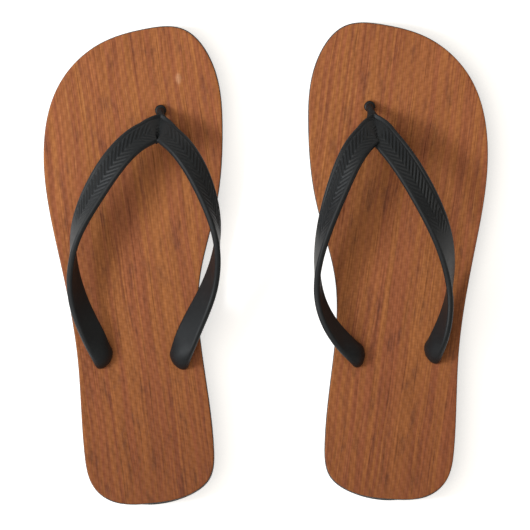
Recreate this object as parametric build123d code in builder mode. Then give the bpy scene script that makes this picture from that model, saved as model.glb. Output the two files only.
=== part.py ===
"""A pair of thong slippers: layered rubber soles, each with one moulded strap anchored by three plugs.

Millimetres, +Z up. The pair stands on Z = 0 with the toes towards +Y; the left slipper is at -X.
Each slipper is drawn in its own frame: y runs from the heel to the toe, and x points to the big-toe
side on both feet, so the right slipper is the mirror image of the left one.
"""

import os
from collections import namedtuple
from math import cos, radians, sin

from build123d import *

os.makedirs("parts", exist_ok=True)

# --- Sole -------------------------------------------------------------------------------------
SOLE_LENGTH = 268.5
HEEL_HEIGHT = 18.0  # top of the footbed at the heel
TOE_HEIGHT = 15.0  # top of the footbed at the toe
OUTSOLE_THICKNESS = 4.0
COVER_THICKNESS = 1.5
BLANK_HEIGHT = 24.0  # the sole is cut from a block this high
WALL_DRAFT = 0.012  # how much narrower, as a share, the top of the block is than its foot
EDGE_RADIUS = 0.5
BLANK_CENTRE = (0.0, 134.0)  # the walls draw in towards this point

# Outline of the sole on the floor, from the heel round the big-toe side and back.
OUTLINE = [
    (-4, 0),
    (20, 3.2),
    (33.4, 12.5),
    (36.7, 30),
    (33.4, 78),
    (33.6, 124),
    (45.6, 167),
    (51.3, 210),
    (46.3, 250),
    (32.5, 266.8),
    (10, 268.2),
    (-16, 261),
    (-38, 242),
    (-50.2, 203),
    (-45, 144),
    (-37.4, 85),
    (-36.4, 30),
    (-31.2, 9.5),
    (-18.5, 1.3),
]

# --- Tread ------------------------------------------------------------------------------------
TREAD_DEPTH = 1.3
TREAD_BORDER = 0.86  # the tread field, as a share of the sole
GROOVE_WIDTH = 2.2
GROOVE_PITCH = 9.0
ZIGZAG_HALF_WAVE = 8.0
ZIGZAG_RISE = 4.0
ZIGZAG_WAVES = 7  # to each side of the middle

# --- Anchors ----------------------------------------------------------------------------------
TOE_HOLE = (17.0, 221.3)
INNER_HOLE = (20.0, 81.5)
OUTER_HOLE = (-22.5, 84.5)
TOE_STEM_RADIUS = 2.4
REAR_STEM_RADIUS = 4.4
STEM_CLEARANCE = 0.1
PLUG_RADIUS = 9.0
PLUG_THICKNESS = 2.2
PLUG_RECESS = 1.0  # how far the plug's head stays clear of the floor
PLUG_CLEARANCE = 0.5
LAND_RADIUS = 12.5  # smooth ring of outsole round each plug
WASHER_RADIUS = 8.6

# --- Strap ------------------------------------------------------------------------------------
STRAP_WIDTH = 15.3
STRAP_THICKNESS = 3.5
RIDGE_THICKNESS = 4.2
ROOT_WIDTH = 5.0  # the band narrows and thickens to this inside the dome of its rear stem
ROOT_THICKNESS = 4.4
ROOT_START = 0.93  # share of the leg where that starts
ROOT_RISE = 3.2  # where the band ends, above the footbed
DOME_RADIUS = 6.0
DOME_RISE = 1.0  # where the dome's round starts, above its seat
SEAT_GAP = 0.1  # under the collar and the domes, which seat on the footbed
EDGE_SHARE = 0.42  # edge radius as a share of the thickness
REAR_TILT = 145.0  # past 90 the foot side of the band looks up
LEG_STEPS = 14  # cross-sections that each leg is lofted through, after the ridge
COLLAR_RADIUS = 3.1
COLLAR_HEIGHT = 2.6
COLLAR_ROUNDING = 0.9
NECK_RADIUS = 2.1
NECK_REACH = 0.3  # how far along the ridge the neck runs into it
NECK_END_DIRECTION = (0, -0.5, 0.87)
LEG_HEIGHTS = [40.0, 42.0, 37.5, 29.5, 26.0]  # of the band's middle above the floor, at a leg's route points

Hole = namedtuple("Hole", "name place stem_radius")
HOLES = [
    Hole("toe", TOE_HOLE, TOE_STEM_RADIUS),
    Hole("inner", INNER_HOLE, REAR_STEM_RADIUS),
    Hole("outer", OUTER_HOLE, REAR_STEM_RADIUS),
]

# One slipper of the pair. ridge is the strap's fold from its front end to the crotch. Each leg has its
# route seen from above, from the ridge to just before its rear hole, the band's slope beside the ridge in
# degrees, and the shares of the leg's length where the twist from there to REAR_TILT starts and ends.
Leg = namedtuple("Leg", "route hole tilt twist")
Foot = namedtuple("Foot", "name side plane ridge outer inner")

LEFT = Foot(
    name="left",
    side=1,
    plane=Plane(origin=(-64.4, -135.8, 0), x_dir=(cos(radians(3.1)), sin(radians(3.1)), 0)),
    ridge=((17.2, 219.0, 25.5), (13.9, 203.0, 36.0)),
    outer=Leg(
        [(3, 205.4), (-23.2, 175.5), (-34.8, 150.5), (-34.4, 116), (-26.8, 95)],
        OUTER_HOLE, 24, (0.2, 0.93),
    ),
    inner=Leg(
        [(27.2, 199.8), (40.8, 171.6), (44.8, 146), (38.2, 118.6), (24.4, 91.8)],
        INNER_HOLE, 34, (0.12, 0.92),
    ),
)
RIGHT = Foot(
    name="right",
    side=-1,
    plane=Plane(origin=(68.6, -133.4, 0), x_dir=(cos(radians(1.7)), -sin(radians(1.7)), 0)),
    ridge=((14.7, 217.0, 25.5), (11.9, 201.0, 36.0)),
    outer=Leg(
        [(-1, 192.6), (-15.1, 170.9), (-26.1, 147.4), (-30.6, 118), (-25.5, 91.8)],
        OUTER_HOLE, 12, (0.19, 1.15),
    ),
    inner=Leg(
        [(23.4, 198), (33.4, 175.5), (41.8, 145.5), (42.8, 116.6), (29, 89.9)],
        INNER_HOLE, 12, (-0.07, 1.18),
    ),
)


def in_foot(foot, local_plane):
    """A plane given in the slipper's own frame, moved to where that slipper stands."""
    return Plane(foot.plane.location * local_plane.location)


def footbed_height(y):
    return HEEL_HEIGHT + (TOE_HEIGHT - HEEL_HEIGHT) * y / SOLE_LENGTH


def layer_plane(foot, below_top):
    """The sloping plane that lies below_top under the footbed."""
    slope = Vector(0, SOLE_LENGTH, TOE_HEIGHT - HEEL_HEIGHT)
    normal = Vector(1, 0, 0).cross(slope)
    return in_foot(foot, Plane(origin=(0, 0, HEEL_HEIGHT - below_top), x_dir=(1, 0, 0), z_dir=normal))


def outline_points(foot, share):
    """The outline's points, scaled about the middle of the sole."""
    middle_x, middle_y = BLANK_CENTRE
    return [
        (foot.side * (middle_x + share * (x - middle_x)), middle_y + share * (y - middle_y))
        for x, y in OUTLINE
    ]


def sole_block(foot):
    """The block with drawn-in walls that every layer of the sole is cut from."""
    ends = []
    for height, share in ((0, 1), (BLANK_HEIGHT, 1 - WALL_DRAFT)):
        with BuildSketch(foot.plane.offset(height)) as end:
            with BuildLine():
                Spline(*outline_points(foot, share), periodic=True)
            make_face()
        ends.append(end.sketch)
    loft(ends, ruled=True)


def hole_place(foot, hole):
    return (foot.side * hole.place[0], hole.place[1])


def round_holes(foot, radius_of):
    """A sketch of the three anchor holes on the floor."""
    with BuildSketch(foot.plane) as circles:
        for hole in HOLES:
            with Locations(hole_place(foot, hole)):
                Circle(radius_of(hole))
    return circles.sketch


def stem_hole_radius(hole):
    return hole.stem_radius + STEM_CLEARANCE


def plug_hole_radius(_hole):
    return PLUG_RADIUS + PLUG_CLEARANCE


def write(part, label):
    part.label = label
    export_step(part, f"parts/{label}.step")


def make_cover(foot):
    with BuildPart() as cover:
        sole_block(foot)
        split(bisect_by=layer_plane(foot, 0), keep=Keep.BOTTOM)
        split(bisect_by=layer_plane(foot, COVER_THICKNESS), keep=Keep.TOP)
        fillet(cover.faces().sort_by(Axis.Z)[-1].outer_wire().edges(), EDGE_RADIUS)
        extrude(round_holes(foot, stem_hole_radius), amount=BLANK_HEIGHT, mode=Mode.SUBTRACT)
    write(cover.part, f"{foot.name}_footbed_cover")


def make_midsole(foot):
    with BuildPart() as midsole:
        sole_block(foot)
        split(bisect_by=layer_plane(foot, COVER_THICKNESS), keep=Keep.BOTTOM)
        split(bisect_by=foot.plane.offset(OUTSOLE_THICKNESS), keep=Keep.TOP)
        extrude(round_holes(foot, stem_hole_radius), amount=BLANK_HEIGHT, mode=Mode.SUBTRACT)
    write(midsole.part, f"{foot.name}_midsole")


def tread_grooves(foot):
    """A sketch of the zigzag grooves, inside a border and clear of a land round each plug."""
    waves = range(-ZIGZAG_WAVES, ZIGZAG_WAVES + 1)
    with BuildSketch(foot.plane) as grooves:
        for row in range(int(SOLE_LENGTH / GROOVE_PITCH)):
            y = (row + 0.5) * GROOVE_PITCH
            with BuildLine():
                Polyline(*[(wave * ZIGZAG_HALF_WAVE, y + (wave % 2) * ZIGZAG_RISE) for wave in waves])
            trace(line_width=GROOVE_WIDTH)
        with BuildLine():
            Spline(*outline_points(foot, TREAD_BORDER), periodic=True)
        make_face(mode=Mode.INTERSECT)
        with Locations(*[hole_place(foot, hole) for hole in HOLES]):
            Circle(LAND_RADIUS, mode=Mode.SUBTRACT)
    return grooves.sketch


def make_outsole(foot):
    with BuildPart() as outsole:
        sole_block(foot)
        split(bisect_by=foot.plane.offset(OUTSOLE_THICKNESS), keep=Keep.BOTTOM)
        fillet(outsole.faces().sort_by(Axis.Z)[0].outer_wire().edges(), EDGE_RADIUS)
        extrude(round_holes(foot, plug_hole_radius), amount=BLANK_HEIGHT, mode=Mode.SUBTRACT)
        extrude(tread_grooves(foot), amount=TREAD_DEPTH, mode=Mode.SUBTRACT)
    write(outsole.part, f"{foot.name}_outsole")


def make_washer(foot, hole):
    """A stiff ring between a plug's head and the foam, which spreads the pull of the strap."""
    with BuildPart() as washer:
        with BuildSketch(foot.plane.offset(PLUG_RECESS + PLUG_THICKNESS)):
            with Locations(hole_place(foot, hole)):
                Circle(WASHER_RADIUS)
                Circle(stem_hole_radius(hole), mode=Mode.SUBTRACT)
        extrude(amount=OUTSOLE_THICKNESS - PLUG_RECESS - PLUG_THICKNESS)
    write(washer.part, f"{foot.name}_{hole.name}_washer")


def smooth_step(value, start, end):
    """0 before start, 1 after end, and an even S between them."""
    share = min(max((value - start) / (end - start), 0), 1)
    return share * share * (3 - 2 * share)


def rounded_bar(foot, plane, width, thickness):
    """A sketch of the band's cross-section on a plane of the slipper's own frame."""
    with BuildSketch(in_foot(foot, plane)) as bar:
        RectangleRounded(width, thickness, EDGE_SHARE * thickness)
    return bar.sketch


def ridge_ends(foot):
    return [Vector(foot.side * x, y, z) for x, y, z in foot.ridge]


def ridge_section(foot):
    """The section in the middle of the band, standing in the upright plane of the ridge."""
    front, crotch = ridge_ends(foot)
    fold = front - crotch
    plane = Plane((front + crotch) / 2, x_dir=fold, z_dir=fold.cross(Vector(0, 0, 1)))
    return rounded_bar(foot, plane, fold.length, RIDGE_THICKNESS)


def leg_path(foot, leg):
    """The middle line of one leg, from the ridge into the dome on its rear stem."""
    front, crotch = ridge_ends(foot)
    hole_x, hole_y = leg.hole
    points = [(front + crotch) / 2]
    points += [Vector(foot.side * x, y, z) for (x, y), z in zip(leg.route, LEG_HEIGHTS)]
    points.append(Vector(foot.side * hole_x, hole_y, footbed_height(hole_y) + ROOT_RISE))
    with BuildLine() as line:
        Spline(*points)
    return line.edges()[0]


def leg_sections(foot, leg, turn):
    """The band at even steps along a leg: sloping outwards at first, and past upright at the rear.

    turn is 1 on the leg towards +X and -1 on the other, so that all sections face the same way.
    """
    path = leg_path(foot, leg)
    sections = []
    for step in range(1, LEG_STEPS + 1):
        share = step / LEG_STEPS
        tangent = path % share
        outwards = tangent.cross(Vector(0, 0, turn)).normalized() * -1
        above = outwards.cross(tangent * turn) * -1
        tilt = radians(leg.tilt + (REAR_TILT - leg.tilt) * smooth_step(share, *leg.twist))
        root = smooth_step(share, ROOT_START, 1)
        width = STRAP_WIDTH + (ROOT_WIDTH - STRAP_WIDTH) * root
        thickness = STRAP_THICKNESS + (ROOT_THICKNESS - STRAP_THICKNESS) * root
        width_dir = outwards * cos(tilt) - above * sin(tilt)
        plane = Plane(path @ share, x_dir=width_dir, z_dir=tangent * turn)
        sections.append(rounded_bar(foot, plane, width, thickness))
    return sections


def band(foot):
    """Both legs and the ridge between them, in one loft from the leg at -X to the leg at +X."""
    low_x, high_x = (foot.outer, foot.inner)[:: foot.side]
    rear_to_ridge = leg_sections(foot, low_x, -1)[::-1]
    loft(rear_to_ridge + [ridge_section(foot)] + leg_sections(foot, high_x, 1))


def turned_on(foot, hole, profile):
    """Revolves an upright half profile, drawn with x as the radius, about the middle of a hole."""
    revolve(profile, axis=Axis(in_foot(foot, Plane((*hole_place(foot, hole), 0))).origin, (0, 0, 1)))


def hole_profile_plane(foot, hole):
    """The upright plane through a hole's middle, with x as the radius and y as the height."""
    return in_foot(foot, Plane((*hole_place(foot, hole), 0), x_dir=(1, 0, 0), z_dir=(0, -1, 0)))


def rear_anchor(foot, hole):
    """A dome that seats on the footbed, on a stem down through the sole with a head in the outsole."""
    head_top = PLUG_RECESS + PLUG_THICKNESS
    radius = hole.stem_radius
    seat = footbed_height(hole.place[1]) + SEAT_GAP
    dome = seat + DOME_RISE
    with BuildSketch(hole_profile_plane(foot, hole)) as profile:
        with BuildLine():
            Polyline((0, dome + DOME_RADIUS), (0, PLUG_RECESS), (PLUG_RADIUS, PLUG_RECESS), (PLUG_RADIUS, head_top))
            Polyline((PLUG_RADIUS, head_top), (radius, head_top), (radius, seat), (DOME_RADIUS, seat))
            Line((DOME_RADIUS, seat), (DOME_RADIUS, dome))
            RadiusArc((DOME_RADIUS, dome), (0, dome + DOME_RADIUS), -DOME_RADIUS)
        make_face()
    turned_on(foot, hole, profile.sketch)


def toe_anchor(foot, hole):
    """The toe post's collar, its stem down through the sole and its head in the outsole."""
    head_top = PLUG_RECESS + PLUG_THICKNESS
    radius = hole.stem_radius
    seat = footbed_height(hole.place[1]) + SEAT_GAP
    top = seat + COLLAR_HEIGHT
    crown = COLLAR_RADIUS - COLLAR_ROUNDING
    with BuildSketch(hole_profile_plane(foot, hole)) as profile:
        with BuildLine():
            Polyline((0, top), (0, PLUG_RECESS), (PLUG_RADIUS, PLUG_RECESS), (PLUG_RADIUS, head_top))
            Polyline((PLUG_RADIUS, head_top), (radius, head_top), (radius, seat), (COLLAR_RADIUS, seat))
            Line((COLLAR_RADIUS, seat), (COLLAR_RADIUS, top - COLLAR_ROUNDING))
            RadiusArc((COLLAR_RADIUS, top - COLLAR_ROUNDING), (crown, top), -COLLAR_ROUNDING)
            Line((crown, top), (0, top))
        make_face()
    turned_on(foot, hole, profile.sketch)


def toe_neck(foot, hole):
    """The neck that leans back from the collar into the underside of the ridge."""
    x, y = hole_place(foot, hole)
    front, crotch = ridge_ends(foot)
    with BuildLine() as line:
        Spline(
            (x, y, footbed_height(y) + COLLAR_HEIGHT / 2),
            front + (crotch - front) * NECK_REACH,
            tangents=[(0, 0, 1), NECK_END_DIRECTION],
        )
    path = line.edges()[0]
    rings = []
    for share in (0, 0.33, 0.67, 1):
        with BuildSketch(in_foot(foot, Plane(path @ share, x_dir=(1, 0, 0), z_dir=path % share))) as ring:
            Circle(NECK_RADIUS)
        rings.append(ring.sketch)
    loft(rings)


def make_strap(foot):
    toe, inner, outer = HOLES
    with BuildPart() as strap:
        band(foot)
        toe_neck(foot, toe)
        toe_anchor(foot, toe)
        rear_anchor(foot, inner)
        rear_anchor(foot, outer)
    write(strap.part, f"{foot.name}_strap")


for foot in (LEFT, RIGHT):
    make_cover(foot)
    make_midsole(foot)
    make_outsole(foot)
    make_strap(foot)
    for hole in HOLES:
        make_washer(foot, hole)
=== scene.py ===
"""The looks of a pair of thong slippers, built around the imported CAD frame.

Shapes are drawn in each slipper's own frame, in millimetres: y from the heel to the toe, x to the
big-toe side, z up from the floor. Foot.row turns them into metres in the row frame.
"""

import math

import bmesh
import bpy
import numpy as np
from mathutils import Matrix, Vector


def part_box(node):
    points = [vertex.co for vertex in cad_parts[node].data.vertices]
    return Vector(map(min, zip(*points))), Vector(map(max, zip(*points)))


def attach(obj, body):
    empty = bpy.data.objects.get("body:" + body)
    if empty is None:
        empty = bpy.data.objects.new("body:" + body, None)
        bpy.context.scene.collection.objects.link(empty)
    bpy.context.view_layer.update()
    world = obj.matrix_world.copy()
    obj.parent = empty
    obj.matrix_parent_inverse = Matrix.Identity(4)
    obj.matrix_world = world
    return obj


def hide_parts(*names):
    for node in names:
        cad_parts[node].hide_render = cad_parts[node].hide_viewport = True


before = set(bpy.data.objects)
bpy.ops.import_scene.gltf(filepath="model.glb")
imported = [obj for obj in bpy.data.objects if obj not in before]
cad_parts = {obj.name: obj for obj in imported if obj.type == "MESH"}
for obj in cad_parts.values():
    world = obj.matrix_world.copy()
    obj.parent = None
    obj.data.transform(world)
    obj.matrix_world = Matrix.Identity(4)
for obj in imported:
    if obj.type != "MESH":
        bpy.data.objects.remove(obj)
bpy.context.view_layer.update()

MM = 0.001

# --- Sole, as in the CAD part -------------------------------------------------------------------
OUTLINE = [
    (-4, 0),
    (20, 3.2),
    (33.4, 12.5),
    (36.7, 30),
    (33.4, 78),
    (33.6, 124),
    (45.6, 167),
    (51.3, 210),
    (46.3, 250),
    (32.5, 266.8),
    (10, 268.2),
    (-16, 261),
    (-38, 242),
    (-50.2, 203),
    (-45, 144),
    (-37.4, 85),
    (-36.4, 30),
    (-31.2, 9.5),
    (-18.5, 1.3),
]
SOLE_LENGTH = 268.5
SOLE_CENTRE = np.array([0.0, 134.0])
WALL_DRAFT = 0.012 / 24.0  # how much narrower, as a share, the sole gets with each mm of height
COVER_THICKNESS = 1.5
EDGE_DROP = 0.32  # the rim of the cover is this much below its top
STEM_DIP = 0.5  # the cover is drawn down this much at each stem
STEM_DIP_REACH = 9.0
HEEL_POLE = 42.0  # the caps of the sole's grid fan out from these places on its middle line
TOE_POLE = 218.0
GRID_HALF_WIDTH = 50.0  # mm of grid columns to each side of the middle line, before they are fitted
COVER_GRID = (0.54, 0.64)  # steps along and across, in mm
FOAM_LEVELS = 10
GRAIN_LEAN = math.radians(7.9)  # outwards from straight ahead
EMBOSS_CELL = (5.18, 6.75)  # across and along the grain
EMBOSS_WAVES = [(1, 1, 0.3), (-1, 1, 0.3), (1, 3, 0.2), (0, 4, 0.2)]  # turns over a cell, and share
EMBOSS_DEPTH = 0.16
EMBOSS_START = (1.5, 5.0)  # the emboss comes up between these distances from the rim
HOLES = {"toe": (17.0, 221.3), "inner": (20.0, 81.5), "outer": (-22.5, 84.5)}
STEM_RADIUS = {"toe": 2.4, "inner": 4.4, "outer": 4.4}

# --- Strap, as in the CAD part ------------------------------------------------------------------
STRAP_WIDTH = 15.3
STRAP_THICKNESS = 3.5
RIDGE_THICKNESS = 4.2
REAR_TILT = 145.0
LEG_HEIGHTS = [40.0, 42.0, 37.5, 29.5, 26.0]
RIDGE_REACH = 8.0  # the ridge's section turns into the leg's over this length
HEADING_HELD = 0.95  # past this share of a leg it goes down, so its heading is kept
PADDLE_START = 0.89  # share of a leg where its end starts to round into a paddle over the stem
PADDLE_SIZE = np.array([7.0, 4.3])
PADDLE_RISE = 1.2
PLUG_RADIUS = 9.0
PLUG_BOTTOM = 1.0
PLUG_THICKNESS = 2.2
STEM_ENTRY = 3.5  # a leg's spline ends this far below the footbed
NECK_RADIUS = 2.1
NECK_FLARE = 3.0  # how much wider the neck gets under the ridge
NECK_THINNING = 0.5
NECK_REACH = 0.26  # share of the ridge that the neck runs under
NECK_DROP = 1.0  # its end stays this far below the ridge's middle line
RIDGES = {
    "left": ((17.2, 219.0, 25.5), (13.9, 203.0, 36.0)),
    "right": ((14.7, 217.0, 25.5), (11.9, 201.0, 36.0)),
}
ROUTES = {
    ("left", "outer"): [(3, 205.4), (-23.2, 175.5), (-34.8, 150.5), (-34.4, 116), (-26.8, 95)],
    ("left", "inner"): [(27.2, 199.8), (40.8, 171.6), (44.8, 146), (38.2, 118.6), (24.4, 91.8)],
    ("right", "outer"): [(-1, 192.6), (-15.1, 170.9), (-26.1, 147.4), (-30.6, 118), (-25.5, 91.8)],
    ("right", "inner"): [(23.4, 198), (33.4, 175.5), (41.8, 145.5), (42.8, 116.6), (29, 89.9)],
}
TWISTS = {
    ("left", "outer"): (24.0, 0.2, 0.93),
    ("left", "inner"): (34.0, 0.12, 0.92),
    ("right", "outer"): (12.0, 0.19, 1.15),
    ("right", "inner"): (12.0, -0.07, 1.18),
}


# --- Curves -------------------------------------------------------------------------------------
def smooth_step(value, start, end):
    share = np.clip((value - start) / (end - start), 0, 1)
    return share * share * (3 - 2 * share)


def cubic_through(points, closed=False):
    """The cubic spline through the points: a function of distance, and its whole length."""
    at = np.array(points, float)
    if closed:
        at = np.vstack([at, at[:1]])
    knots = np.concatenate([[0], np.cumsum(np.linalg.norm(np.diff(at, axis=0), axis=1))])
    gap = np.diff(knots)
    slope = np.diff(at, axis=0) / gap[:, None]
    last = len(at) - 1
    matrix = np.zeros((last + 1, last + 1))
    right = np.zeros_like(at)
    for i in range(1, last):
        matrix[i, i - 1 : i + 2] = gap[i], 2 * (gap[i - 1] + gap[i]), gap[i - 1]
        right[i] = 3 * (gap[i] * slope[i - 1] + gap[i - 1] * slope[i])
    if closed:
        matrix[0, [0, last]] = 1, -1
        matrix[last, [last - 1, 0, 1]] = gap[0], 2 * (gap[-1] + gap[0]), gap[-1]
        right[last] = 3 * (gap[0] * slope[-1] + gap[-1] * slope[0])
    else:
        matrix[0, :2] = 2, 1
        right[0] = 3 * slope[0]
        matrix[last, -2:] = 1, 2
        right[last] = 3 * slope[-1]
    tangent = np.linalg.solve(matrix, right)

    def where(distance):
        i = np.clip(np.searchsorted(knots, distance, side="right") - 1, 0, last - 1)
        u = ((distance - knots[i]) / gap[i])[:, None]
        run = gap[i][:, None]
        return (
            (1 + 2 * u) * (1 - u) ** 2 * at[i]
            + u * (1 - u) ** 2 * run * tangent[i]
            + u * u * (3 - 2 * u) * at[i + 1]
            + u * u * (u - 1) * run * tangent[i + 1]
        )

    return where, knots[-1]


def evenly(points, step, closed=False):
    """Points about step apart along the spline through the given points."""
    where, length = cubic_through(points, closed)
    fine = where(np.linspace(0, length, 6000))
    run = np.concatenate([[0], np.cumsum(np.linalg.norm(np.diff(fine, axis=0), axis=1))])
    count = int(round(run[-1] / step))
    wanted = np.linspace(0, run[-1], count + 1)
    if closed:
        wanted = wanted[:-1]
    return np.stack([np.interp(wanted, run, fine[:, k]) for k in range(fine.shape[1])], axis=1)


OUTLINE_POINTS = evenly(OUTLINE, 0.1, closed=True)


# --- The two slippers ---------------------------------------------------------------------------
class Foot:
    """One slipper: where it stands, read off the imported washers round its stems, and its heights."""

    def __init__(self, name, side):
        self.name = name
        self.side = side
        toe, inner = (self.washer_middle(hole) for hole in ("toe", "inner"))
        toe_drawn, inner_drawn = (np.array(HOLES[hole]) * (side, 1) for hole in ("toe", "inner"))
        along, along_drawn = toe - inner, toe_drawn - inner_drawn
        self.angle = math.atan2(along[1], along[0]) - math.atan2(along_drawn[1], along_drawn[0])
        turn = self.angle
        self.turn = np.array([[math.cos(turn), -math.sin(turn)], [math.sin(turn), math.cos(turn)]])
        self.origin = toe - self.turn @ toe_drawn
        cover_low, cover_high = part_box(f"{name}_footbed_cover")
        self.heel_height = cover_high.z / MM
        self.toe_height = cover_low.z / MM + COVER_THICKNESS
        self.outsole_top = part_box(f"{name}_outsole")[1].z / MM

    def washer_middle(self, hole):
        low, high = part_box(f"{self.name}_{hole}_washer")
        return np.array([low.x + high.x, low.y + high.y]) / 2 / MM

    def row(self, points):
        """Drawn points, in mm, as metres in the row frame."""
        points = np.asarray(points, float)
        flat = points[:, :2] * (self.side, 1) @ self.turn.T + self.origin
        return np.column_stack([flat, points[:, 2]]) * MM

    def footbed(self, y):
        return self.heel_height + (self.toe_height - self.heel_height) * y / SOLE_LENGTH


FEET = [Foot("left", 1), Foot("right", -1)]


def make_piece(foot, name, points, faces, materials, slots=None):
    """A mesh object from drawn points. A right foot is mirrored, so its faces are turned over."""
    if foot.side < 0:
        faces = [face[::-1] for face in faces]
    mesh = bpy.data.meshes.new(name)
    mesh.from_pydata(foot.row(points).tolist(), [], faces)
    for material in materials:
        mesh.materials.append(material)
    if slots is not None:
        mesh.polygons.foreach_set("material_index", slots)
    mesh.polygons.foreach_set("use_smooth", [True] * len(faces))
    mesh.validate()
    mesh.update()
    piece = bpy.data.objects.new(name, mesh)
    bpy.context.scene.collection.objects.link(piece)
    return piece


# --- Sole ---------------------------------------------------------------------------------------
def side_at(y, sign):
    """The outline's x at heights y, on its side with x of that sign."""
    side = OUTLINE_POINTS[OUTLINE_POINTS[:, 0] * sign > 0]
    side = side[(side[:, 1] > HEEL_POLE - 5) & (side[:, 1] < TOE_POLE + 5)]
    order = np.argsort(side[:, 1])
    return np.interp(y, side[order, 1], side[order, 0])


def cap_rim(pole, start, end, steps):
    """Outline points at even steps of angle about a pole, between two rim points, counter-clockwise."""
    from_pole = OUTLINE_POINTS - pole
    angle = np.arctan2(from_pole[:, 1], from_pole[:, 0])
    first = math.atan2(*(start - pole)[::-1])
    sweep = (math.atan2(*(end - pole)[::-1]) - first) % (2 * math.pi)
    turned = (angle - first) % (2 * math.pi)
    order = np.argsort(turned)
    wanted = np.arange(1, steps) / steps * sweep
    by_angle = OUTLINE_POINTS[order]
    return np.stack([np.interp(wanted, turned[order], by_angle[:, k]) for k in (0, 1)], axis=1)


def sole_grid(row_step, column_step):
    """A grid over the sole's outline: plain rows along its length, and a fan over each end.

    Gives its points, its faces, and its rim as a counter-clockwise list of point numbers.
    """
    rows = int(round((TOE_POLE - HEEL_POLE) / row_step))
    half = int(round(GRID_HALF_WIDTH / column_step))
    ys = np.linspace(HEEL_POLE, TOE_POLE, rows + 1)
    outer, inner = side_at(ys, -1), side_at(ys, 1)
    middle = (outer + inner) / 2
    share = np.arange(-half, half + 1) / half
    reach = np.where(share[None, :] < 0, (middle - outer)[:, None], (inner - middle)[:, None])
    xs = middle[:, None] + share[None, :] * reach
    points = [np.column_stack([xs.ravel(), np.repeat(ys, 2 * half + 1)])]
    number = np.arange((rows + 1) * (2 * half + 1)).reshape(rows + 1, -1)
    faces = []
    quads = np.stack([number[:-1, :-1], number[:-1, 1:], number[1:, 1:], number[1:, :-1]], axis=-1)
    faces += quads.reshape(-1, 4).tolist()
    total = number.size

    rims = []
    for row in (rows, 0):
        spokes = number[row]
        pole = points[0][spokes[half]]
        first, last = spokes[half:], spokes[half::-1]
        if row == 0:
            first, last = last, first
        start, end = points[0][first[-1]], points[0][last[-1]]
        steps = int(round(abs(end[0] - start[0]) * math.pi / 2 / column_step))
        rim = cap_rim(pole, start, end, steps)
        share_out = (np.arange(1, half + 1) / half)[None, :, None]
        fan = pole + (rim[:, None, :] - pole) * share_out
        points.append(fan.reshape(-1, 2))
        inner_numbers = np.arange(total, total + fan.shape[0] * half).reshape(-1, half)
        total += inner_numbers.size
        spoke_numbers = np.vstack([first[1:], inner_numbers, last[1:]])
        for a, b in zip(spoke_numbers[:-1], spoke_numbers[1:]):
            faces.append([int(spokes[half]), int(a[0]), int(b[0])])
            faces += np.stack([a[:-1], a[1:], b[1:], b[:-1]], axis=-1).tolist()
        rims.append(inner_numbers[:, -1])
    rim = np.concatenate([number[:, -1], rims[0], number[::-1, 0], rims[1]])
    return np.vstack(points), faces, rim


def at_height(flat, z):
    """Outline points drawn in to the sole's width at height z."""
    share = 1 - WALL_DRAFT * np.asarray(z)[:, None]
    return np.column_stack([SOLE_CENTRE + (flat - SOLE_CENTRE) * share, z])


def slab(flat, faces, rim, top, wall_levels):
    """A closed layer of the sole: a gridded top, a wall of rings below its rim, and a flat bottom.

    wall_levels lists (height function, inset) from just under the top down to the bottom.
    """
    points = [at_height(flat, top)]
    faces = [list(face) for face in faces]
    kinds = ["top"] * len(faces)
    rim_flat = flat[rim]
    ahead, behind = np.roll(rim_flat, -1, axis=0), np.roll(rim_flat, 1, axis=0)
    along = ahead - behind
    outwards = np.column_stack([along[:, 1], -along[:, 0]]) / np.linalg.norm(along, axis=1)[:, None]
    above = np.array(rim)
    total = len(flat)
    for height, inset in wall_levels:
        points.append(at_height(rim_flat - outwards * inset, height(rim_flat)))
        below = np.arange(total, total + len(rim))
        total += len(rim)
        ring = np.stack([above, below, np.roll(below, -1), np.roll(above, -1)], axis=-1)
        faces += ring.tolist()
        kinds += ["wall"] * len(ring)
        above = below
    faces.append(above[::-1].tolist())
    kinds.append("bottom")
    return np.vstack(points), faces, kinds


def grain_axes(foot, flat):
    """Drawn points as distances across and along the printed grain."""
    lean = GRAIN_LEAN - foot.side * foot.angle
    x, y = flat[:, 0], flat[:, 1]
    return x * math.cos(lean) + y * math.sin(lean), y * math.cos(lean) - x * math.sin(lean)


def emboss(foot, flat):
    """The footbed's moulded texture, a staggered lattice of short raised dashes."""
    across, along = grain_axes(foot, flat)
    height = 0
    for across_waves, along_waves, share in EMBOSS_WAVES:
        turns = across_waves * across / EMBOSS_CELL[0] + along_waves * along / EMBOSS_CELL[1]
        height = height + share * np.cos(2 * math.pi * turns)
    return EMBOSS_DEPTH * (height - 1)


def near(flat, place, reach):
    """1 at a place, falling to 0 at reach from it."""
    return 1 - smooth_step(np.linalg.norm(flat - place, axis=1), 0, reach)


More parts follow.
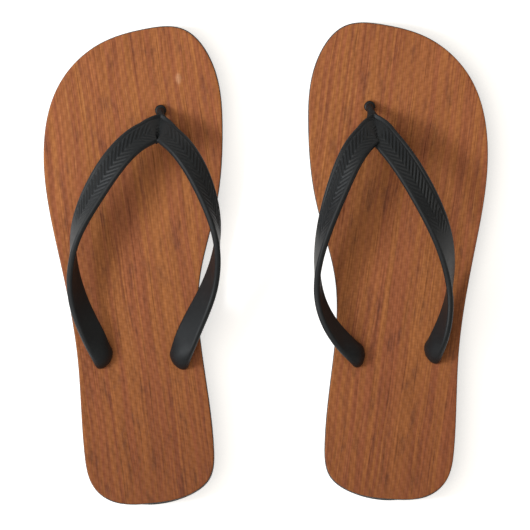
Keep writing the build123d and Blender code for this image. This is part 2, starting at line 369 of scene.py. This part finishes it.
def make_cover(foot, printed, side_rubber):
    """The printed sheet: embossed, with a soft edge, and drawn down a little round each stem."""
    flat, faces, rim = sole_grid(*COVER_GRID)
    rim_flat = flat[rim]
    edge = np.min(np.abs(flat[:, None, :] - rim_flat[None, ::40, :]).sum(axis=2), axis=1)
    inside = smooth_step(edge, *EMBOSS_START)
    dip = sum(near(flat, np.array(HOLES[hole]), STEM_DIP_REACH) for hole in HOLES)
    top = foot.footbed(flat[:, 1]) + emboss(foot, flat) * inside - STEM_DIP * dip
    top[rim] = foot.footbed(rim_flat[:, 1]) - EDGE_DROP

    def under_top(depth):
        return lambda at: foot.footbed(at[:, 1]) - depth

    levels = [(under_top(0.7), -0.12), (under_top(1.1), -0.14), (under_top(COVER_THICKNESS), -0.1)]
    points, faces, kinds = slab(flat, faces, rim, top, levels)
    slots = [0 if kind == "top" else 1 for kind in kinds]
    cover = make_piece(foot, f"{foot.name}_footbed", points, faces, [printed, side_rubber], slots)
    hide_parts(f"{foot.name}_footbed_cover")
    return cover


def make_midsole(foot, foam):
    """The foam core. Its cut wall shows between the cover and the outsole."""
    flat, _, rim = sole_grid(1.2, 1.2)
    rim_flat = flat[rim]
    top = foot.footbed(rim_flat[:, 1]) - COVER_THICKNESS

    def level(share):
        return lambda at: top + (foot.outsole_top - top) * share

    levels = [(level(0.02), 0.1)]
    for i in range(1, FOAM_LEVELS):
        levels.append((level(i / FOAM_LEVELS), 0.06 * math.sin(i * 2.1)))
    levels += [(level(0.98), 0.1), (level(1), 0.25)]
    numbers = np.arange(len(rim_flat))
    points, faces, _ = slab(rim_flat, [numbers.tolist()], numbers, top, levels)
    midsole = make_piece(foot, f"{foot.name}_foam_core", points, faces, [foam])
    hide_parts(f"{foot.name}_midsole")
    return midsole


# --- Strap --------------------------------------------------------------------------------------
RING_STEP = 0.42
PROFILE_POINTS = 104
EDGE_SHARE = 0.42
RIB_PITCH = 3.2
RIB_SLANT = 1.3
RIB_HEIGHT = 0.6
RIB_INSET = 0.3
FAINT_RIBS = 0.35  # share of their height on the inboard side of the chevron line
RIB_START = (4.0, 9.0)  # distance from the ridge over which the ribs come up
FIELD_EDGES = (-5.8, 4.6)  # the ribbed field, across the band; the outboard side is positive
CHEVRON_LINE = -0.9
RIB_END = (0.40, 0.52)
RIB_SHIFT = {"outer": 0.0, "inner": 0.5}  # in pitches
FIELD_SOFTNESS = 0.5  # width over which the field's sides come up
BORDER_LINE = 5.2  # a narrow groove beside the ribs, as long as the field
BORDER_DEPTH = 0.35
BORDER_SPREAD = 0.4
CREASE_DEPTH = 1.3  # the groove along the ridge, where the legs' outer faces roll into each other
CREASE_REACH = 6.5
CREASE_ENDS = (5.6, 7.4)  # it fades out between these distances from the band's middle line
TOOTH_DEPTH = 0.5  # how far the crease zigzags to each side
TOOTH_PITCH = 2.1
TOOTH_REACH = 3.6
TOOTH_END = (0.5, 3.0)  # the zigzag fades out towards the ridge's front end
OUTER_FACE = (0.3, 0.48)  # shares of the thickness between which a section's outer face begins
TANGENT_SMOOTHING = 6  # rounds


def bar_profile(width, thickness):
    """Even points round a rounded bar, from its outboard edge over its outer face."""
    radius = EDGE_SHARE * thickness
    half_w, half_t = width / 2 - radius, thickness / 2 - radius
    corner = np.linspace(0, math.pi / 2, 12)
    path = []
    for cx, cy, start in (
        (half_w, half_t, 0),
        (-half_w, half_t, math.pi / 2),
        (-half_w, -half_t, math.pi),
        (half_w, -half_t, 1.5 * math.pi),
    ):
        path += [(cx + radius * math.cos(start + a), cy + radius * math.sin(start + a)) for a in corner]
    path = np.array([(width / 2, 0)] + path + [(width / 2, 0)])
    run = np.concatenate([[0], np.cumsum(np.linalg.norm(np.diff(path, axis=0), axis=1))])
    wanted = np.arange(PROFILE_POINTS) / PROFILE_POINTS * run[-1]
    return np.stack([np.interp(wanted, run, path[:, k]) for k in (0, 1)], axis=1)


def across_field(across):
    """1 over the ribbed field's width and 0 over the plain edges of the band."""
    low, high = FIELD_EDGES
    rise = smooth_step(across, low, low + FIELD_SOFTNESS)
    return rise * (1 - smooth_step(across, high - FIELD_SOFTNESS, high))


def rib_relief(across, along, share, shift):
    """Height of the herringbone ribs, their border and the crease over the outer face."""
    ending = 1 - smooth_step(share, *RIB_END)
    field = across_field(across) * smooth_step(along, *RIB_START) * ending
    phase = (along + RIB_SLANT * np.abs(across - CHEVRON_LINE)) / RIB_PITCH + shift
    wave = 0.5 + 0.5 * np.cos(2 * math.pi * phase)
    border = np.exp(-(((across - BORDER_LINE) / BORDER_SPREAD) ** 2)) * ending
    crease = 1 - smooth_step(along, 0, CREASE_REACH)
    crease = crease * (1 - smooth_step(np.abs(across), *CREASE_ENDS))
    strength = FAINT_RIBS + (1 - FAINT_RIBS) * smooth_step(across - CHEVRON_LINE, -0.6, 0.6)
    ribs = field * strength * (RIB_HEIGHT * smooth_step(wave, 0.1, 0.9) - RIB_INSET)
    return ribs - BORDER_DEPTH * border - CREASE_DEPTH * crease


def leg_path(foot, leg):
    """Even points down a leg's middle to its plug, the run to each, and that as a share of the band."""
    front, crotch = (np.array(end, float) for end in RIDGES[foot.name])
    hole = HOLES[leg]
    floor = foot.footbed(hole[1])
    seat = np.array([*hole, floor + PADDLE_RISE])
    route = [(front + crotch) / 2]
    route += [np.array([x, y, z]) for (x, y), z in zip(ROUTES[foot.name, leg], LEG_HEIGHTS)]
    route += [seat, np.array([*hole, floor - STEM_ENTRY])]
    path = evenly(route, RING_STEP)
    lowest = path[-1, 2]
    down = np.arange(1, int((lowest - PLUG_BOTTOM - 1) / (2 * RING_STEP)))
    stem = np.column_stack([np.tile(hole, (len(down), 1)), lowest - down * 2 * RING_STEP])
    path = np.vstack([path, stem])
    run = np.arange(len(path)) * RING_STEP
    share = run / run[np.argmin(np.linalg.norm(path - seat, axis=1))]
    return path, run, share


def unit(vectors):
    return vectors / np.linalg.norm(vectors, axis=1)[:, None]


def leg_directions(foot, leg, path, run, share):
    """The band's width direction and its outer face's normal at each point of a leg."""
    tangent = np.gradient(path, axis=0)
    for _ in range(TANGENT_SMOOTHING):
        tangent[1:-1] = (tangent[:-2] + 2 * tangent[1:-1] + tangent[2:]) / 4
    tangent = unit(tangent)
    heading = tangent[:, :2].copy()
    held = np.argmax(share > HEADING_HELD)
    heading[held:] = heading[held]
    heading = unit(heading)
    sense = 1 if leg == "inner" else -1
    level = np.zeros(len(heading))
    across = np.column_stack([-sense * heading[:, 1], sense * heading[:, 0], level])
    above = np.cross(tangent, across) * sense
    ridge_tilt, twist_start, twist_end = TWISTS[foot.name, leg]
    twist = smooth_step(share, twist_start, twist_end)
    tilt = np.radians(ridge_tilt + (REAR_TILT - ridge_tilt) * twist)[:, None]
    wide = across * np.cos(tilt) - above * np.sin(tilt)
    outer = above * np.cos(tilt) + across * np.sin(tilt)

    fold, upright, _ = ridge_axes(foot)
    from_ridge = np.clip(run / RIDGE_REACH, 0, 1)[:, None]
    wide = unit(fold + (wide - fold) * from_ridge)
    outer = upright + (outer - upright) * from_ridge
    outer = unit(outer - wide * np.sum(wide * outer, axis=1)[:, None])
    return wide, outer


def ridge_axes(foot):
    """The directions along a ridge, forwards, and square to it in its upright plane; and its length."""
    front, crotch = (np.array(end, float) for end in RIDGES[foot.name])
    fold = front - crotch
    length = np.linalg.norm(fold)
    fold = fold / length
    upright = np.array([0, 0, 1.0]) - fold[2] * fold
    return fold, upright / np.linalg.norm(upright), length


def leg_rings(foot, leg):
    """Rings of the band along one leg, from the middle of the ridge down through the sole to the plug."""
    floor = foot.footbed(HOLES[leg][1])
    path, run, share = leg_path(foot, leg)
    wide, outer = leg_directions(foot, leg, path, run, share)
    fold, upright, ridge_length = ridge_axes(foot)
    over_ridge = np.cross(fold, upright)
    turn = np.arange(PROFILE_POINTS) / PROFILE_POINTS * 2 * math.pi
    circle = np.column_stack([np.cos(turn), np.sin(turn)])
    rings = []
    for i, middle in enumerate(path):
        near_leg = np.clip(run[i] / RIDGE_REACH, 0, 1)
        width = ridge_length + (STRAP_WIDTH - ridge_length) * near_leg
        thickness = RIDGE_THICKNESS + (STRAP_THICKNESS - RIDGE_THICKNESS) * near_leg
        profile = bar_profile(width, thickness)
        scale = STRAP_WIDTH / width
        on_outer = smooth_step(profile[:, 1], *(thickness * edge for edge in OUTER_FACE))
        relief = rib_relief(profile[:, 0] * scale, run[i], share[i], RIB_SHIFT[leg])
        profile[:, 1] += relief * on_outer
        sunk = smooth_step(floor + 0.2 - middle[2], 0, 1.2)
        stem = circle * (PADDLE_SIZE + (STEM_RADIUS[leg] - PADDLE_SIZE) * sunk)
        profile = profile + (stem - profile) * smooth_step(share[i], PADDLE_START, 1.0)
        toothed = across_field(profile[:, 0]) * (1 - smooth_step(profile[:, 0], *TOOTH_END))
        teeth = toothed * np.cos(2 * math.pi * profile[:, 0] / TOOTH_PITCH)
        teeth = TOOTH_DEPTH * teeth * (1 - smooth_step(run[i], 0, TOOTH_REACH))
        ring = middle + profile[:, :1] * wide[i] + profile[:, 1:] * outer[i]
        rings.append(ring + teeth[:, None] * over_ridge)
    return rings


def tube_faces(ring_count, ring_size, first=0):
    """Quads between rings, with an n-gon over each end."""
    number = first + np.arange(ring_count * ring_size).reshape(ring_count, ring_size)
    following = np.roll(number, -1, axis=1)
    quads = np.stack([number[:-1], following[:-1], following[1:], number[1:]], axis=-1)
    faces = quads.reshape(-1, 4).tolist()
    faces.append(number[0, ::-1].tolist())
    faces.append(number[-1].tolist())
    return faces


def lathe(middle, profile, steps=72):
    """Rings of a turned shape about an upright line; profile lists (radius, height), bottom to top."""
    turn = np.arange(steps) / steps * 2 * math.pi
    ring = np.column_stack([np.cos(turn), np.sin(turn)])
    return [
        np.column_stack([np.array(middle) + ring * radius, np.full(steps, height)])
        for radius, height in profile
    ]


def rounded_profile(points, radius, steps=5):
    """The (radius, height) corners with each inner corner rounded."""
    points = [np.array(p, float) for p in points]
    out = [points[0]]
    for before, corner, after in zip(points, points[1:], points[2:]):
        length_before, length_after = np.linalg.norm(before - corner), np.linalg.norm(after - corner)
        reach = min(radius, length_before / 2.01, length_after / 2.01)
        a = corner + (before - corner) / length_before * reach
        b = corner + (after - corner) / length_after * reach
        for i in range(steps + 1):
            u = i / steps
            out.append((1 - u) ** 2 * a + 2 * u * (1 - u) * corner + u * u * b)
    out.append(points[-1])
    return [tuple(p) for p in out]


def neck_rings(foot):
    """The neck that leans back from the collar and widens into the underside of the ridge."""
    front, crotch = (np.array(end) for end in RIDGES[foot.name])
    x, y = HOLES["toe"]
    base = foot.footbed(y) + 0.6
    top = front + (crotch - front) * NECK_REACH - (0, 0, NECK_DROP)
    halfway = (top + (x, y - 1.6, base + 5.5)) / 2
    path = evenly([(x, y, base), (x, y - 0.7, base + 3.2), halfway, top], 0.4)
    share = np.arange(len(path)) / (len(path) - 1)
    tangent = unit(np.gradient(path, axis=0))
    side = unit(np.cross(tangent, (0, 1, 0)))
    back = np.cross(tangent, side)
    turn = np.arange(48) / 48 * 2 * math.pi
    flare = smooth_step(share, 0.45, 1.0)
    wide, deep = NECK_RADIUS + NECK_FLARE * flare, NECK_RADIUS - NECK_THINNING * flare
    return [
        middle + np.cos(turn)[:, None] * side[i] * wide[i] + np.sin(turn)[:, None] * back[i] * deep[i]
        for i, middle in enumerate(path)
    ]


def plug_rings(middle):
    """The mushroom head that sits in the outsole's recess, with a shallow dimple under it."""
    low, high = PLUG_BOTTOM, PLUG_BOTTOM + PLUG_THICKNESS
    dimple = [(0.01, low + 0.5), (2.6, low + 0.45), (3.4, low)]
    corners = dimple + [(PLUG_RADIUS, low), (PLUG_RADIUS, high), (3, high)]
    return lathe(middle, rounded_profile(corners, 0.9))


def collar_rings(foot):
    """The bead round the toe post where it meets the footbed."""
    x, y = HOLES["toe"]
    seat = foot.footbed(y) - 0.35
    corners = [(1.8, seat), (3.15, seat), (3.2, seat + 2.5), (1.7, seat + 3.1)]
    return lathe((x, y), rounded_profile(corners, 1.25, 8), 56)


def make_strap(foot, rubber):
    shells = []
    legs = {leg: leg_rings(foot, leg) for leg in ("outer", "inner")}
    shells.append(legs["outer"][::-1] + legs["inner"][1:])
    shells.append(neck_rings(foot))
    shells.append(collar_rings(foot))
    for hole in HOLES:
        shells.append(plug_rings(HOLES[hole]))
    toe = HOLES["toe"]
    radius = STEM_RADIUS["toe"]
    shells.append(lathe(toe, [(radius, PLUG_BOTTOM + 1), (radius, foot.footbed(toe[1]) + 0.5)], 48))
    points, faces = [], []
    total = 0
    for rings in shells:
        faces += tube_faces(len(rings), len(rings[0]), total)
        points += rings
        total += len(rings) * len(rings[0])
    strap = make_piece(foot, f"{foot.name}_thong_strap", np.vstack(points), faces, [rubber])
    face_outwards(strap)
    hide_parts(f"{foot.name}_strap")
    return strap


def face_outwards(piece):
    """Turns each closed shell's faces to look out."""
    shape = bmesh.new()
    shape.from_mesh(piece.data)
    bmesh.ops.recalc_face_normals(shape, faces=shape.faces)
    shape.to_mesh(piece.data)
    shape.free()


# --- Materials ----------------------------------------------------------------------------------
class Shader:
    """A node material, with short calls for adding nodes and joining them."""

    def __init__(self, name):
        self.material = bpy.data.materials.new(name)
        self.material.use_nodes = True
        self.nodes = self.material.node_tree.nodes
        self.links = self.material.node_tree.links
        self.surface = self.nodes["Principled BSDF"]

    def set(self, socket, value):
        if isinstance(value, bpy.types.NodeSocket):
            self.links.new(value, socket)
        else:
            socket.default_value = value

    def add(self, kind, inputs=(), **settings):
        node = self.nodes.new(kind)
        for key, value in settings.items():
            setattr(node, key, value)
        for key, value in dict(inputs).items():
            self.set(node.inputs[key], value)
        return node

    def math(self, operation, *values):
        node = self.add("ShaderNodeMath", dict(enumerate(values)), operation=operation)
        return node.outputs[0]

    def mix(self, factor, first, second, blend="MIX"):
        node = self.add("ShaderNodeMix", data_type="RGBA", blend_type=blend)
        self.set(node.inputs[0], factor)
        self.set(node.inputs[6], first)
        self.set(node.inputs[7], second)
        return node.outputs[2]

    def noise(self, vector, scale, detail=2.0, roughness=0.5, distortion=0.0):
        inputs = {
            "Vector": vector,
            "Scale": scale,
            "Detail": detail,
            "Roughness": roughness,
            "Distortion": distortion,
        }
        return self.add("ShaderNodeTexNoise", inputs).outputs["Fac"]

    def ramp(self, value, low, high, to_low=0.0, to_high=1.0):
        inputs = {0: value, 1: low, 2: high, 3: to_low, 4: to_high}
        return self.add("ShaderNodeMapRange", inputs, interpolation_type="SMOOTHSTEP").outputs[0]

    def point(self, x, y, z=0.0):
        return self.add("ShaderNodeCombineXYZ", {0: x, 1: y, 2: z}).outputs[0]

    def split(self, vector):
        return self.add("ShaderNodeSeparateXYZ", {0: vector}).outputs

    def object_mm(self, origin=(0, 0, 0), angle=0.0):
        """Object coordinates in mm from an origin, turned by an angle about Z."""
        place = self.add("ShaderNodeTexCoord").outputs["Object"]
        inputs = {"Vector": place, "Location": origin, "Rotation": (0, 0, angle), "Scale": (MM, MM, MM)}
        return self.add("ShaderNodeMapping", inputs, vector_type="TEXTURE").outputs[0]

    def bump(self, height, distance_mm, strength=1.0):
        """Bends the surface's normal by a height from 0 to 1 that stands for distance_mm."""
        inputs = {"Height": height, "Distance": distance_mm * MM, "Strength": strength}
        bump = self.add("ShaderNodeBump", inputs)
        self.links.new(bump.outputs[0], self.surface.inputs["Normal"])

    def finish(self, **sockets):
        for name, value in sockets.items():
            self.set(self.surface.inputs[name.replace("_", " ")], value)
        return self.material


def colour(red, green, blue):
    """An sRGB colour, from 0 to 255, as the linear colour that a shader takes."""
    channels = [c / 255 for c in (red, green, blue)]
    return (*[c / 12.92 if c <= 0.04045 else ((c + 0.055) / 1.055) ** 2.4 for c in channels], 1.0)


KNOTS = {"left": (27.9, 238.6), "right": (-24.0, 150.0)}
HEEL_TONE = {"left": 0.62, "right": 0.70}  # how dark the colour is behind the heel, as a share of the toe's
TONE_POWERS = (0.95, 1.15, 1.35)  # red, green and blue: the darker the tone (grain, the darkening towards the heel and the painted shade in the emboss's hollows), the redder the colour


def bamboo_print_and_painted_shade(foot, seed):
    """Printed bamboo: soft-edged boards, long fibres, fine dark lines, pale streaks and dark patches; darker
    towards the heel, with painted shade in the emboss's hollows and a faint painted highlight on its raised
    dashes.
    """
    shader = Shader(f"{foot.name}_bamboo_print")
    origin = (*(foot.origin * MM), 0)
    grain = shader.split(shader.object_mm(origin, foot.side * GRAIN_LEAN))
    drawn = shader.split(shader.object_mm(origin, foot.angle))
    straight, v = shader.math("MULTIPLY", grain[0], foot.side), grain[1]
    # the emboss's lattice, the same as in the cover's relief; further down it paints shade into the print's
    # colour
    lattice = 0.0
    for across_waves, along_waves, share in EMBOSS_WAVES:
        turns = shader.math("MULTIPLY", straight, across_waves / EMBOSS_CELL[0])
        turns = shader.math("ADD", turns, shader.math("MULTIPLY", v, along_waves / EMBOSS_CELL[1]))
        wave = shader.math("COSINE", shader.math("MULTIPLY", turns, 2 * math.pi))
        lattice = shader.math("ADD", lattice, shader.math("MULTIPLY", wave, share))

    def streaks(across, along, offset, detail, roughness=0.6):
        stretched = [shader.math("MULTIPLY", u, across), shader.math("MULTIPLY", v, along)]
        place = shader.point(*stretched, seed + offset)
        return shader.noise(place, 1.0, detail, roughness)

    u = straight
    u = shader.math("ADD", straight, shader.math("MULTIPLY", streaks(0.03, 0.008, 0, 2), 6.0))
    board = streaks(0.26, 0.004, 3, 2)
    fibre = streaks(1.0, 0.013, 7, 5, 0.72)
    hair = streaks(3.4, 0.06, 11, 3)
    dark_line = shader.ramp(streaks(1.7, 0.022, 17, 3), 0.58, 0.65, 1.0, 0.62)
    pale_streak = shader.ramp(streaks(1.3, 0.016, 29, 3), 0.60, 0.70, 0.0, 0.40)
    patch = shader.ramp(streaks(0.20, 0.050, 23, 4), 0.52, 0.70, 0.0, 0.62)
    patch = shader.math("MULTIPLY", patch, shader.ramp(fibre, 0.3, 0.6, 1.0, 0.55))

    ochre, rose = colour(168, 104, 56), colour(157, 91, 56)
    base = shader.mix(shader.ramp(board, 0.38, 0.62), ochre, rose)
    base = shader.mix(patch, base, colour(98, 54, 42))
    base = shader.mix(pale_streak, base, colour(192, 132, 78))
    knot_x, knot_y = KNOTS[foot.name]
    reach = shader.math("MULTIPLY", shader.math("SUBTRACT", drawn[0], foot.side * knot_x), 2.0)
    reach = shader.math("POWER", reach, 2.0)
    up = shader.math("SUBTRACT", drawn[1], knot_y)
    reach = shader.math("ADD", reach, shader.math("POWER", up, 2.0))
    knot = shader.ramp(shader.math("SQRT", reach), 1.2, 4.2, 0.55, 0.0)
    base = shader.mix(knot, base, colour(214, 160, 122))
    tone = shader.ramp(fibre, 0.3, 0.7, 0.74, 1.22)
    tone = shader.math("MULTIPLY", tone, shader.ramp(hair, 0.3, 0.7, 0.86, 1.13))
    tone = shader.math("MULTIPLY", tone, dark_line)
    # darker from the toe towards the heel, down to HEEL_TONE behind it
    tone = shader.math("MULTIPLY", tone, shader.ramp(drawn[1], -20.0, 190.0, HEEL_TONE[foot.name], 1.0))
    # painted shade in the emboss's hollows and a faint painted highlight on its raised dashes
    tone = shader.math("MULTIPLY", tone, shader.ramp(lattice, -0.8, 0.8, 0.88, 1.06))
    tones = [shader.math("POWER", tone, power) for power in TONE_POWERS]
    tint = shader.add("ShaderNodeCombineColor", dict(enumerate(tones))).outputs[0]
    base = shader.mix(1.0, base, tint, "MULTIPLY")
    grit = shader.noise(shader.object_mm(), 2.4, 3, 0.7)
    shader.bump(grit, 0.10, 0.5)
    roughness = shader.ramp(fibre, 0.3, 0.7, 0.52, 0.64)
    return shader.finish(Base_Color=base, Roughness=roughness, Specular_IOR_Level=0.22)


def strap_rubber():
    """Soft black rubber with a satin skin, a fine mould grain and faint handling marks."""
    shader = Shader("strap_rubber")
    place = shader.object_mm()
    cloud = shader.noise(place, 0.05, 4, 0.6)
    grain = shader.noise(place, 3.2, 3, 0.7)
    dust = shader.ramp(shader.noise(place, 0.35, 5, 0.7), 0.5, 0.8)
    base = shader.mix(cloud, colour(20, 23, 26), colour(27, 31, 34))
    base = shader.mix(shader.math("MULTIPLY", dust, 0.2), base, colour(58, 59, 58))
    shader.bump(grain, 0.03, 0.5)
    roughness = shader.ramp(cloud, 0.3, 0.7, 0.48, 0.57)
    return shader.finish(Base_Color=base, Roughness=roughness, Specular_IOR_Level=0.30)


def foam():
    """Closed-cell foam with a knife-cut wall: fine pores with painted shade in them, and faint level drag
    lines.
    """
    shader = Shader("midsole_foam")
    place = shader.object_mm()
    voronoi = shader.add("ShaderNodeTexVoronoi", {"Vector": place, "Scale": 1.6}, feature="F1")
    cells = voronoi.outputs["Distance"]
    x, y, z = shader.split(place)
    flattened = [shader.math("MULTIPLY", part, stretch) for part, stretch in ((x, 0.03), (y, 0.03), (z, 3.0))]
    drag = shader.noise(shader.point(*flattened), 1.0, 3, 0.6)
    pores = shader.ramp(cells, 0.1, 0.5)
    height = shader.math("ADD", shader.math("MULTIPLY", pores, 0.6), shader.math("MULTIPLY", drag, 0.6))
    shader.bump(height, 0.12, 0.7)
    base = shader.mix(drag, colour(44, 44, 45), colour(60, 60, 61))
    # painted shade: darker at the bottom of each pore's pit
    painted_pore_shade = shader.math("MULTIPLY", shader.ramp(cells, 0.0, 0.25, 1.0, 0.0), 0.4)
    base = shader.mix(painted_pore_shade, base, colour(24, 24, 25))
    roughness = shader.ramp(drag, 0.3, 0.7, 0.78, 0.92)
    return shader.finish(Base_Color=base, Roughness=roughness, Specular_IOR_Level=0.25)


def outsole_rubber():
    """Moulded black rubber, dusty in its grain and paler where it scuffs the floor."""
    shader = Shader("outsole_rubber")
    place = shader.object_mm()
    grain = shader.noise(place, 2.2, 4, 0.7)
    cloud = shader.noise(place, 0.04, 4, 0.6)
    low = shader.ramp(shader.split(place)[2], 0.0, 0.25, 1.0, 0.0)
    scuff = shader.math("MULTIPLY", low, shader.ramp(cloud, 0.4, 0.65))
    base = shader.mix(cloud, colour(34, 34, 35), colour(46, 46, 46))
    base = shader.mix(shader.math("MULTIPLY", scuff, 0.35), base, colour(96, 94, 90))
    shader.bump(grain, 0.06, 0.6)
    roughness = shader.ramp(grain, 0.3, 0.7, 0.58, 0.74)
    return shader.finish(Base_Color=base, Roughness=roughness, Specular_IOR_Level=0.4)


def nylon():
    """Natural moulded nylon, slightly mottled."""
    shader = Shader("washer_nylon")
    place = shader.object_mm()
    cloud = shader.noise(place, 0.4, 3, 0.6)
    base = shader.mix(cloud, colour(214, 212, 203), colour(228, 227, 220))
    shader.bump(shader.noise(place, 2.5, 2, 0.6), 0.03, 0.4)
    return shader.finish(Base_Color=base, Roughness=shader.ramp(cloud, 0.3, 0.7, 0.4, 0.5))


def paint_node(node, material):
    """Gives a CAD node that stays a better material."""
    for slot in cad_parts[node].material_slots:
        slot.material = material


# --- The pair -----------------------------------------------------------------------------------
strap_finish, foam_finish = strap_rubber(), foam()
outsole_finish, washer_finish = outsole_rubber(), nylon()
for foot, seed in zip(FEET, (2.0, 41.0)):
    pieces = [
        make_cover(foot, bamboo_print_and_painted_shade(foot, seed), foam_finish),
        make_midsole(foot, foam_finish),
        make_strap(foot, strap_finish),
    ]
    for piece in pieces:
        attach(piece, foot.name)
    paint_node(f"{foot.name}_outsole", outsole_finish)
    for hole in HOLES:
        paint_node(f"{foot.name}_{hole}_washer", washer_finish)


# --- Stage, light and camera --------------------------------------------------------------------
def make_floor():
    """A plain, very pale floor."""
    size, count = 6.0, 8
    line = np.linspace(-size / 2, size / 2, count + 1)
    points = [(x, y, -0.0002) for y in line for x in line]
    number = np.arange(len(points)).reshape(count + 1, -1)
    corners = [number[:-1, :-1], number[:-1, 1:], number[1:, 1:], number[1:, :-1]]
    faces = np.stack(corners, axis=-1).reshape(-1, 4).tolist()
    mesh = bpy.data.meshes.new("floor")
    mesh.from_pydata(points, [], faces)
    shader = Shader("pale_floor")
    shader.surface.inputs["Emission Color"].default_value = (1, 1, 1, 1)
    pale = (0.93, 0.93, 0.93, 1)
    mesh.materials.append(shader.finish(Base_Color=pale, Roughness=0.9, Emission_Strength=0.55))
    floor = bpy.data.objects.new("floor", mesh)
    bpy.context.scene.collection.objects.link(floor)


def area_light(name, place, size, power, tint=(1, 1, 1)):
    """A square soft light aimed at the pair."""
    data = bpy.data.lights.new(name, "AREA")
    data.size = size
    data.energy = power
    data.color = tint
    light = bpy.data.objects.new(name, data)
    light.location = place
    towards = -light.location
    light.rotation_mode = "QUATERNION"
    light.rotation_quaternion = towards.to_track_quat("-Z", "Y")
    bpy.context.scene.collection.objects.link(light)


def make_world(strength, tint):
    world = bpy.data.worlds.new("studio")
    world.use_nodes = True
    background = world.node_tree.nodes["Background"]
    background.inputs["Color"].default_value = (*tint, 1)
    background.inputs["Strength"].default_value = strength
    bpy.context.scene.world = world


def make_camera(height, view_width):
    """A long lens straight above the pair, so that it sees view_width of the footbed's plane."""
    data = bpy.data.cameras.new("camera")
    data.sensor_width = 36
    data.lens = data.sensor_width * (height - 16 * MM) / view_width
    data.clip_end = 20
    camera = bpy.data.objects.new("camera", data)
    camera.location = (-0.7 * MM, -0.8 * MM, height)
    bpy.context.scene.collection.objects.link(camera)
    bpy.context.scene.camera = camera


make_floor()
make_world(0.33, (1.0, 0.92, 0.82))
area_light("key", (-1.2, -0.03, 1.1), 0.42, 14, (0.98, 1.03, 1.09))
area_light("overhead", (-0.5, 0.0, 1.5), 1.5, 12, (1.0, 0.94, 0.84))
make_camera(4.1, 0.298)
bpy.context.scene.view_settings.view_transform = "Standard"
